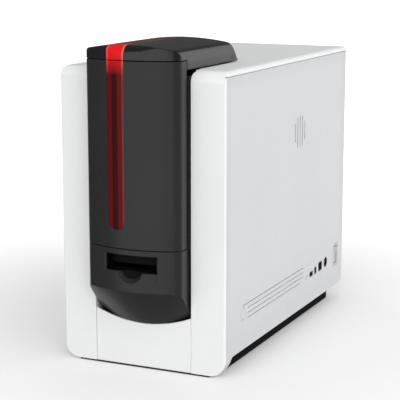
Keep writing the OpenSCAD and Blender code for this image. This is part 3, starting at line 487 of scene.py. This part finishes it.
record = frame["record"]
NODE_BODY = {node: body for body, nodes in record["behaviour"]["bodies"].items() for node in nodes}
NODE_SLOT = {part["node"]: part["material_slot"] for part in record["subparts"]}


def shown(name, bm, material):
    """Makes a bmesh an object of the scene, in one material"""
    mesh = bpy.data.meshes.new(name)
    bm.to_mesh(mesh)
    bm.free()
    mesh.materials.append(material)
    made = bpy.data.objects.new(name, mesh)
    bpy.context.scene.collection.objects.link(made)
    return made


def add_piece(name, bm, node, slot=None, smooth_angle=40):
    """Makes a bmesh a piece that rides with a frame node, in the material of its slot or of another"""
    body, slot = NODE_BODY[node], slot or NODE_SLOT[node]
    piece = shown(name, bm, finish_of(node, slot))
    piece.data.shade_smooth()
    piece.data.set_sharp_from_angle(angle=math.radians(smooth_angle))
    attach(piece, body)
    return piece


def welded(node, apart=0.05 * MM, sliver=0.01 * MM, flat=math.radians(0.6)):
    """Copy of a frame node as one closed mesh without the triangles' inner edges"""
    bm = bmesh.new()
    bm.from_mesh(frame["nodes"][node].data)
    bmesh.ops.remove_doubles(bm, verts=bm.verts, dist=apart)
    bmesh.ops.dissolve_degenerate(bm, edges=bm.edges, dist=sliver)
    bmesh.ops.dissolve_limit(
        bm, angle_limit=flat, verts=bm.verts, edges=bm.edges, use_dissolve_boundaries=False
    )
    return bm


def runs_of_edges(bm, sharp_from=math.radians(28), straight_on=0.8):
    """Numbers the sharp edges, with one number for all that carry on from one another"""
    sharp = [edge for edge in bm.edges if edge.is_manifold and edge.calc_face_angle(0) > sharp_from]
    run_of = dict.fromkeys(sharp)
    count = 0
    for first in sharp:
        if run_of[first] is not None:
            continue
        run_of[first] = count
        ends = [(first, vert) for vert in first.verts]
        while ends:
            edge, vert = ends.pop()
            way = (vert.co - edge.other_vert(vert).co).normalized()
            for other in vert.link_edges:
                beyond = other.other_vert(vert)
                if other in run_of and run_of[other] is None:
                    if way.dot((beyond.co - vert.co).normalized()) > straight_on:
                        run_of[other] = count
                        ends += [(other, vert), (other, beyond)]
        count += 1
    return run_of, count


def taken_at(loop, radius_of, least_rise=0.02, most_radii=4):
    """What the roundings of two edges take off each other's length at the corner between them"""
    sides = loop.link_loop_prev.edge, loop.edge
    first, second = (radius_of(side) for side in sides)
    corner = loop.calc_angle() if loop.is_convex else 2 * math.pi - loop.calc_angle()
    rise, run = math.sin(corner), math.cos(corner)
    if abs(rise) < least_rise:
        return zip(sides, (0, 0))
    most = most_radii * max(first, second)
    pairs = (first, second), (second, first)
    return zip(sides, (min(max((own * run + other) / rise, 0), most) for own, other in pairs))


def crowding(face, radius_of, room=0.75):
    """Yields edges whose roundings don't fit on a face, with the share of their radius that would"""
    taken = dict.fromkeys(face.edges, 0)
    for loop in face.loops:
        for edge, length in taken_at(loop, radius_of):
            taken[edge] += length
    for loop in face.loops:
        fits = room * loop.edge.calc_length()
        if taken[loop.edge] > fits:
            for edge in (loop.link_loop_prev.edge, loop.edge, loop.link_loop_next.edge):
                yield edge, fits / taken[loop.edge]
    longest = max(edge.calc_length() for edge in face.edges)
    sides = [edge for edge in face.edges if edge.calc_length() > longest / 2]
    across, fits = sum(map(radius_of, sides)), room * face.calc_area() / longest
    if across > fits:
        for edge in sides:
            yield edge, fits / across


def roomy_radii(bm, run_of, count, radius, least, lowest_share=0.5, margin=0.98):
    """Radius of each run of edges: the wanted one, or what the faces beside it leave room for"""
    radii = [radius] * count

    def radius_of(edge):
        return radii[run_of[edge]] if edge in run_of else 0

    crowded = True
    while crowded:
        crowded = {}
        for face in bm.faces:
            for edge, share in crowding(face, radius_of):
                if radius_of(edge) > 0:
                    crowded[run_of[edge]] = min(crowded.get(run_of[edge], 1), max(lowest_share, share))
        for number, share in crowded.items():
            radii[number] *= margin * share
            if radii[number] < least:
                radii[number] = 0
    return radii


def weigh_edges(bm, radius, least=0.12 * MM):
    """Stores the share of a radius that each edge can be rounded by"""
    weight = bm.edges.layers.float.new("bevel_weight_edge")
    run_of, count = runs_of_edges(bm)
    radii = roomy_radii(bm, run_of, count, radius, least)
    for edge, number in run_of.items():
        edge[weight] = radii[number] / radius


def rounded_piece(node, radius, steps):
    """Stands for a frame node with its edges rounded"""
    bm = welded(node)
    weigh_edges(bm, radius)
    piece = add_piece(node + "_skin", bm, node, smooth_angle=30)
    rounding = piece.modifiers.new("Rounded edges", "BEVEL")
    rounding.limit_method = "WEIGHT"
    rounding.width = radius
    rounding.segments = steps
    rounding.profile = 0.5
    rounding.use_clamp_overlap = False
    weighted = piece.modifiers.new("Even shading", "WEIGHTED_NORMAL")
    weighted.keep_sharp = True
    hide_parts(node)
    return piece


def add_block(bm, lo, hi, radius=0.3, steps=2):
    """Adds a box between two corners in millimetres, with rounded edges"""
    lo, hi = Vector(lo) * MM, Vector(hi) * MM
    made = bmesh.ops.create_cube(bm, size=1)["verts"]
    bmesh.ops.scale(bm, verts=made, vec=hi - lo)
    bmesh.ops.translate(bm, verts=made, vec=(lo + hi) / 2)
    edges = list(dict.fromkeys(edge for vert in made for edge in vert.link_edges))
    bmesh.ops.bevel(
        bm, geom=edges, offset=radius * MM, offset_type="OFFSET", segments=steps, profile=0.5,
        affect="EDGES", clamp_overlap=True, material=-1,
    )


AXIS_TURNS = {"X": Matrix.Rotation(math.pi / 2, 4, "Y"), "Z": Matrix.Identity(4)}


def add_turned(bm, profile, place, axis="Z", steps=24, apart=0.001 * MM):
    """Adds a profile of (radius, height) pairs in millimetres, turned about an axis through a place"""
    part = bmesh.new()
    verts = [part.verts.new((radius * MM, 0, height * MM)) for radius, height in profile]
    edges = [part.edges.new(pair) for pair in zip(verts, verts[1:])]
    bmesh.ops.spin(
        part, geom=verts + edges, cent=(0, 0, 0), axis=(0, 0, 1), angle=math.tau, steps=steps,
        use_merge=True,
    )
    bmesh.ops.remove_doubles(part, verts=part.verts, dist=apart)
    bmesh.ops.recalc_face_normals(part, faces=part.faces)
    part.transform(Matrix.Translation(Vector(place) * MM) @ AXIS_TURNS[axis])
    mesh = bpy.data.meshes.new("part")
    part.to_mesh(mesh)
    part.free()
    bm.from_mesh(mesh)
    bpy.data.meshes.remove(mesh)


def box_in_mm(node):
    return [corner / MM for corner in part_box(node)]


# ---------------------------------------------------------------- operators


class PRINTER_OT_stage(bpy.types.Operator):
    """Sets up the camera, the pale floor and the soft lamps"""

    bl_idname = "printer.stage"
    bl_label = "Stage"

    def execute(self, context):
        stage = context.scene.printer_stage
        context.scene.view_settings.view_transform = "Standard"
        self.add_camera(context, stage)
        self.add_floor(stage)
        self.light_world(context, stage)
        self.add_lamp("Right lamp", stage.right_sun, stage.lamp_spread, turn=70, rise=24)
        self.add_lamp("Front lamp", stage.front_sun, stage.lamp_spread, turn=15, rise=35)
        self.add_card("Front card", stage.front_card, turn=-9, distance=2.2, width=2.4, height=4.0)
        self.add_card("Back card", stage.back_card, turn=138, distance=2.4, width=2.8, height=4.0)
        return {"FINISHED"}

    def add_camera(self, context, stage):
        data = bpy.data.cameras.new("Camera")
        data.sensor_width = 36
        data.lens = stage.lens
        data.clip_end = 100
        camera = bpy.data.objects.new("Camera", data)
        camera.location = stage.camera_place
        camera.rotation_euler = (math.pi / 2 - stage.camera_pitch, 0, stage.camera_turn)
        context.scene.collection.objects.link(camera)
        context.scene.camera = camera

    def add_floor(self, stage):
        bm = bmesh.new()
        bmesh.ops.create_grid(bm, x_segments=1, y_segments=1, size=stage.floor_size / 2)
        floor = shown("Floor", bm, self.floor_material(stage))
        floor.visible_glossy = False

    def floor_material(self, stage):
        """Pale floor that the camera sees brighter than it is lit, so that it runs out to white"""
        finish = Finish("floor_paper", (0.8, 0.8, 0.8), 0.9, specular_ior_level=0.1, emission_color=WHITE)
        # Painted shade: the lift grows with distance from the printer, so the floor round its base reads
        # darker
        away = finish.node("ShaderNodeVectorMath", operation="LENGTH")
        finish.link(finish.place, away.inputs[0])
        lift = finish.ranged(
            away.outputs["Value"], stage.floor_lift, stage.far_lift, stage.lift_from, stage.lift_to
        )
        seen = finish.node("ShaderNodeLightPath").outputs["Is Camera Ray"]
        finish.link(finish.product(seen, lift), finish.shader.inputs["Emission Strength"])
        return finish.material

    def light_world(self, context, stage):
        """Even grey light, with white where the camera looks past the floor"""
        world = bpy.data.worlds.new("Studio")
        context.scene.world = world
        world.use_nodes = True
        tree = world.node_tree
        background = tree.nodes["Background"]
        background.inputs["Color"].default_value = WHITE
        rays = tree.nodes.new("ShaderNodeLightPath")
        glossy = self.switch(tree, rays.outputs["Is Glossy Ray"], stage.world_level, stage.dark_level)
        level = self.switch(tree, rays.outputs["Is Camera Ray"], glossy, 1.0)
        tree.links.new(level, background.inputs["Strength"])

    def switch(self, tree, test, no, yes):
        """Level that is yes where the test is 1 and no elsewhere"""
        mix = tree.nodes.new("ShaderNodeMix")
        tree.links.new(test, mix.inputs["Factor"])
        if isinstance(no, float):
            mix.inputs["A"].default_value = no
        else:
            tree.links.new(no, mix.inputs["A"])
        mix.inputs["B"].default_value = yes
        return mix.outputs["Result"]

    def add_lamp(self, name, strength, spread, turn, rise):
        """Broad far lamp, turned from the front towards the right and raised by degrees"""
        data = bpy.data.lights.new(name, "SUN")
        data.energy = strength
        data.angle = spread
        lamp = bpy.data.objects.new(name, data)
        lamp.rotation_euler = (math.radians(90 - rise), 0, math.radians(turn))
        lamp.visible_glossy = False
        bpy.context.scene.collection.objects.link(lamp)

    def add_card(self, name, level, turn, distance, width, height):
        """Bright card that only reflections see, turned from the front towards the right"""
        bm = bmesh.new()
        bmesh.ops.create_grid(bm, x_segments=1, y_segments=1, size=0.5)
        bmesh.ops.scale(bm, verts=bm.verts, vec=(width, height, 1))
        bmesh.ops.rotate(bm, verts=bm.verts, matrix=Matrix.Rotation(math.pi / 2, 3, "X"))
        bmesh.ops.translate(bm, verts=bm.verts, vec=(0, -distance, 0))
        bmesh.ops.rotate(bm, verts=bm.verts, matrix=Matrix.Rotation(math.radians(turn), 3, "Z"))
        light = {"specular_ior_level": 0.0, "emission_color": WHITE, "emission_strength": level}
        card = shown(name, bm, Finish("card_white", (0, 0, 0), 0.5, **light).material)
        card.visible_camera = False
        card.visible_diffuse = False
        card.visible_shadow = False
        card.visible_transmission = False


class PRINTER_OT_shell(bpy.types.Operator):
    """Rounds the white housing, fascia, side panel, doors and cover"""

    bl_idname = "printer.shell"
    bl_label = "White shell"
    nodes = ("housing", "centre_fascia", "right_panel", "service_door", "rear_cover")

    def execute(self, context):
        shell = context.scene.printer_shell
        for node in self.nodes:
            rounded_piece(node, shell.shell_edge, shell.edge_steps)
        return {"FINISHED"}


class PRINTER_OT_feeder(bpy.types.Operator):
    """Rounds the charcoal hood, feeder door and slot module and fits their red windows"""

    bl_idname = "printer.feeder"
    bl_label = "Card feeder"
    covers = ("hood", "feeder_door", "slot_module")
    windows = ("hood_window", "door_window")

    def execute(self, context):
        shell = context.scene.printer_shell
        for node in self.covers:
            rounded_piece(node, shell.cover_edge, shell.edge_steps)
        for node in self.windows:
            rounded_piece(node, shell.fine_edge, shell.edge_steps)
        return {"FINISHED"}


class PRINTER_OT_marks(bpy.types.Operator):
    """Fits dark blocks as painted shade of the side panel's louvre openings, and the caps over the hood's
    pins
    """

    bl_idname = "printer.marks"
    bl_label = "Louvres and pin caps"
    # All in millimetres, with places counted from the housing's front bottom corner as (y, z) pairs
    row_starts, row_ends = (50, 66, 66, 66), (247.5, 247.5, 247.5, 234.5)
    top_row, row_drop = 70.8, 5.8
    row_pitch, row_opening = 3.2, (2.0, 0.7)
    ring_place, ring_radius, ring_sides = (52, 61), 7.7, 6
    blank_start, blank_end = (253.7, 53.7), (268, 56.9)
    outline_pitch, outline_opening = 1.6, (0.8, 0.4)
    opening_bottom, opening_top, opening_edge = 0.75, 0.35, 0.12
    dimple_place = (218.4, 60.1)
    # Profiles of (radius, height) pairs, from the panel's face and from the hood's side
    dimple = ((0, -0.8), (0.9, -0.8), (0.9, -0.4), (0.7, -0.3), (0, -0.3))
    cap = ((0, -2.6), (1.8, -2.6), (2.05, -2.4), (2.05, -0.4), (1.8, -0.1), (0, 0))

    def execute(self, context):
        self.add_louvres()
        self.add_caps()
        return {"FINISHED"}

    def add_louvres(self):
        """Dark blocks in the panel's shallow grooves, painted shade standing for short openings that lead
        inside
        """
        bm = bmesh.new()
        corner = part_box("housing")[0] / MM
        corner.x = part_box("right_panel")[1].x / MM
        for number, (start, end) in enumerate(zip(self.row_starts, self.row_ends)):
            height = self.top_row - self.row_drop * number
            self.add_row(bm, corner, (start, height), (end, height), self.row_pitch, self.row_opening)
        (y, z), radius = self.ring_place, self.ring_radius
        turns = (math.tau * side / self.ring_sides for side in range(self.ring_sides))
        self.add_outline(
            bm, corner, [(y + radius * math.cos(turn), z + radius * math.sin(turn)) for turn in turns]
        )
        (y0, z0), (y1, z1) = self.blank_start, self.blank_end
        self.add_outline(bm, corner, [(y0, z0), (y1, z0), (y1, z1), (y0, z1)])
        add_turned(bm, self.dimple, corner + Vector((0, *self.dimple_place)), "X")
        add_piece("louvre_shade_blocks", bm, "right_panel", "black_plastic")

    def add_outline(self, bm, corner, points):
        for start, end in zip(points, points[1:] + points[:1]):
            self.add_row(bm, corner, start, end, self.outline_pitch, self.outline_opening)

    def add_row(self, bm, corner, start, end, pitch, size):
        """Small blocks of the given length and height at a pitch from one (y, z) point to another"""
        start, end = Vector(start), Vector(end)
        half = Vector(size) / 2
        count = max(1, round((end - start).length / pitch))
        for step in range(count):
            at = start.lerp(end, (step + 0.5) / count)
            low = corner + Vector((-self.opening_bottom, *(at - half)))
            high = corner + Vector((-self.opening_top, *(at + half)))
            add_block(bm, low, high, self.opening_edge, 1)

    def add_caps(self):
        """Round caps that close the holes over the ends of the hood's hinge pins"""
        lo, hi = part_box("hood_hinge_pins")
        y, z = (lo.y + hi.y) / 2 / MM, (lo.z + hi.z) / 2 / MM
        half_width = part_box("hood")[1].x / MM
        bm = bmesh.new()
        for side in (-1, 1):
            profile = [(radius, side * (half_width + height)) for radius, height in self.cap]
            add_turned(bm, profile, (0, y, z), "X")
        add_piece("hood_pin_caps", bm, "hood")


class PRINTER_OT_inner(bpy.types.Operator):
    """Rounds the edges of the pieces inside and under the printer"""

    bl_idname = "printer.inner"
    bl_label = "Inner pieces"

    def execute(self, context):
        shell = context.scene.printer_shell
        for node, keeper in frame["nodes"].items():
            if not keeper.hide_render and node not in ("main_board", "board_screws"):
                rounded_piece(node, shell.fine_edge, shell.fine_steps)
        return {"FINISHED"}


class PRINTER_OT_electronics(bpy.types.Operator):
    """Populates the main board and fits the contacts inside the sockets"""

    bl_idname = "printer.electronics"
    bl_label = "Electronics"
    # All in millimetres, with places counted from the board's top front left corner. Each chip, plug or
    # coil is its x, y, length, width and height, and each can its x, y, radius and height.
    chips = ((8, 58.5, 18, 18, 1.8), (10, 36.5, 12, 9, 1.4), (10, 24.5, 12, 9, 1.4), (12, 82.5, 9, 6, 1.6))
    chip_lift, chip_edge = 0.2, 0.25
    plug, plug_edge = (5, 90.5, 4, 10, 6), 0.3
    coil, coil_edge = (20, 6.5, 8, 7, 4.5), 0.8
    leg_pitch, leg_start, leg_width, leg_height, leg_out, leg_under = 1.3, 0.6, 0.5, 0.6, 1.1, 0.3
    leg_edge = 0.1
    cans = ((12, 8.5, 3.2, 9), (12, 17.5, 3.2, 9), (5.5, 44.5, 2.5, 7), (30, 15.5, 4, 11))
    thin_edge = 0.08
    strip_places = (3.1, 5.3, 7.5, 9.7)
    first_wire, wire_pitch, wire_count = 4.1, 1.1, 8

    def execute(self, context):
        lo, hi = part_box("main_board")
        corner = Vector((lo.x, lo.y, hi.z)) / MM
        self.add_chips(corner)
        self.add_legs(corner)
        self.add_cans(corner)
        self.add_contacts()
        return {"FINISHED"}

    def add_chips(self, corner):
        bm = bmesh.new()
        for chip in self.chips:
            self.add_case(bm, corner, chip, self.chip_lift, self.chip_edge)
        self.add_case(bm, corner, self.plug, 0, self.plug_edge)
        self.add_case(bm, corner, self.coil, 0, self.coil_edge)
        add_piece("board_chips", bm, "main_board", "black_plastic")

    def add_case(self, bm, corner, case, lift, edge):
        x, y, *size = case
        low = corner + Vector((x, y, lift))
        add_block(bm, low, low + Vector(size), edge)

    def add_legs(self, corner):
        """Bent-down legs along both long sides of each chip"""
        bm = bmesh.new()
        for x, y, length, width, height in self.chips:
            back = y + width
            sides = (
                (y - self.leg_out, y + self.leg_under), (back - self.leg_under, back + self.leg_out)
            )
            for step in range(int(length / self.leg_pitch)):
                at = x + self.leg_start + self.leg_pitch * step
                for low, high in sides:
                    size = Vector((self.leg_width, high - low, self.leg_height))
                    foot = corner + Vector((at, low, 0))
                    add_block(bm, foot, foot + size, self.leg_edge, 1)
        add_piece("chip_legs", bm, "main_board", "socket_metal")

    def add_cans(self, corner):
        """Round capacitor cans with a crimped neck and a rolled rim"""
        bm = bmesh.new()
        for x, y, radius, height in self.cans:
            add_turned(bm, (
                (0, 0), (radius, 0), (radius, 0.8), (radius - 0.35, 1.3), (radius, 1.8),
                (radius, height - 0.5), (radius - 0.5, height), (radius - 0.9, height - 0.25),
                (0, height - 0.25),
            ), corner + Vector((x, y, 0)))
        add_piece("board_capacitors", bm, "main_board", "motor_case")

    def add_contacts(self):
        """Tongues and contact strips seen through the mouths of the sockets"""
        tongue, metal = bmesh.new(), bmesh.new()
        self.add_flat_contacts(tongue, metal)
        self.add_tall_tongue(tongue)
        self.add_network_wires(metal)
        self.add_power_pin(metal)
        add_piece("socket_tongues", tongue, "main_board", "black_plastic")
        add_piece("socket_contacts", metal, "main_board", "brass_gear")

    def add_flat_contacts(self, tongue, metal):
        """Flat tongue of the wide USB socket with its four strips"""
        lo, hi = box_in_mm("usb_a_socket")
        add_block(tongue, (lo.x + 3, lo.y + 1.6, lo.z + 3.6), (hi.x - 3, hi.y - 1.6, lo.z + 5.2), 0.2)
        for y in (lo.y + place for place in self.strip_places):
            add_block(
                metal, (lo.x + 4, y - 0.5, lo.z + 3.35), (hi.x - 4, y + 0.5, lo.z + 3.65),
                self.thin_edge, 1,
            )

    def add_tall_tongue(self, tongue):
        """Square tongue of the tall USB socket"""
        lo, hi = box_in_mm("usb_b_socket")
        add_block(tongue, (lo.x + 3, lo.y + 2.9, lo.z + 3), (hi.x - 3, hi.y - 2.9, lo.z + 6), 0.3)

    def add_network_wires(self, metal):
        """Spring wires under the roof of the network socket"""
        lo, hi = box_in_mm("network_socket")
        for step in range(self.wire_count):
            y = lo.y + self.first_wire + self.wire_pitch * step
            add_block(
                metal, (lo.x + 6, y, hi.z - 3.4), (hi.x - 3, y + 0.5, hi.z - 2.9), self.thin_edge, 1
            )

    def add_power_pin(self, metal):
        """Centre pin of the round power socket"""
        lo, hi = box_in_mm("power_socket")
        end, middle = hi.x - lo.x - 1, (hi.y - lo.y) / 2
        add_turned(
            metal, ((0, 3), (1.0, 3), (1.0, end - 0.5), (0.6, end), (0, end)),
            (lo.x, (lo.y + hi.y) / 2, hi.z - middle), "X",
        )


class PRINTER_OT_remaining(bpy.types.Operator):
    """Gives every frame node that is still shown its material"""

    bl_idname = "printer.remaining"
    bl_label = "Remaining pieces"

    def execute(self, context):
        for node, keeper in frame["nodes"].items():
            if not keeper.hide_render:
                keeper.data.materials.clear()
                keeper.data.materials.append(finish_of(node, NODE_SLOT[node]))
        return {"FINISHED"}


STEPS = (PRINTER_OT_stage, PRINTER_OT_shell, PRINTER_OT_feeder, PRINTER_OT_marks, PRINTER_OT_inner,
         PRINTER_OT_electronics, PRINTER_OT_remaining)


class PRINTER_PT_sidebar(bpy.types.Panel):
    """Sizes, colours and steps of the card printer"""

    bl_idname = "PRINTER_PT_sidebar"
    bl_label = "Card printer"
    bl_space_type = "VIEW_3D"
    bl_region_type = "UI"
    bl_category = "Card printer"

    def draw(self, context):
        for settings in (context.scene.printer_shell, context.scene.printer_stage):
            box = self.layout.box()
            for name in settings.__annotations__:
                box.prop(settings, name)
        for step in STEPS:
            self.layout.operator(step.bl_idname)


CLASSES = (ShellSettings, StageSettings, *STEPS, PRINTER_PT_sidebar)


def register():
    for item in CLASSES:
        bpy.utils.register_class(item)
    bpy.types.Scene.printer_shell = PointerProperty(type=ShellSettings)
    bpy.types.Scene.printer_stage = PointerProperty(type=StageSettings)


def unregister():
    del bpy.types.Scene.printer_stage
    del bpy.types.Scene.printer_shell
    for item in reversed(CLASSES):
        bpy.utils.unregister_class(item)


def main():
    register()
    for step in STEPS:
        group, name = step.bl_idname.split(".")
        getattr(getattr(bpy.ops, group), name)()


if __name__ == "__main__":
    main()
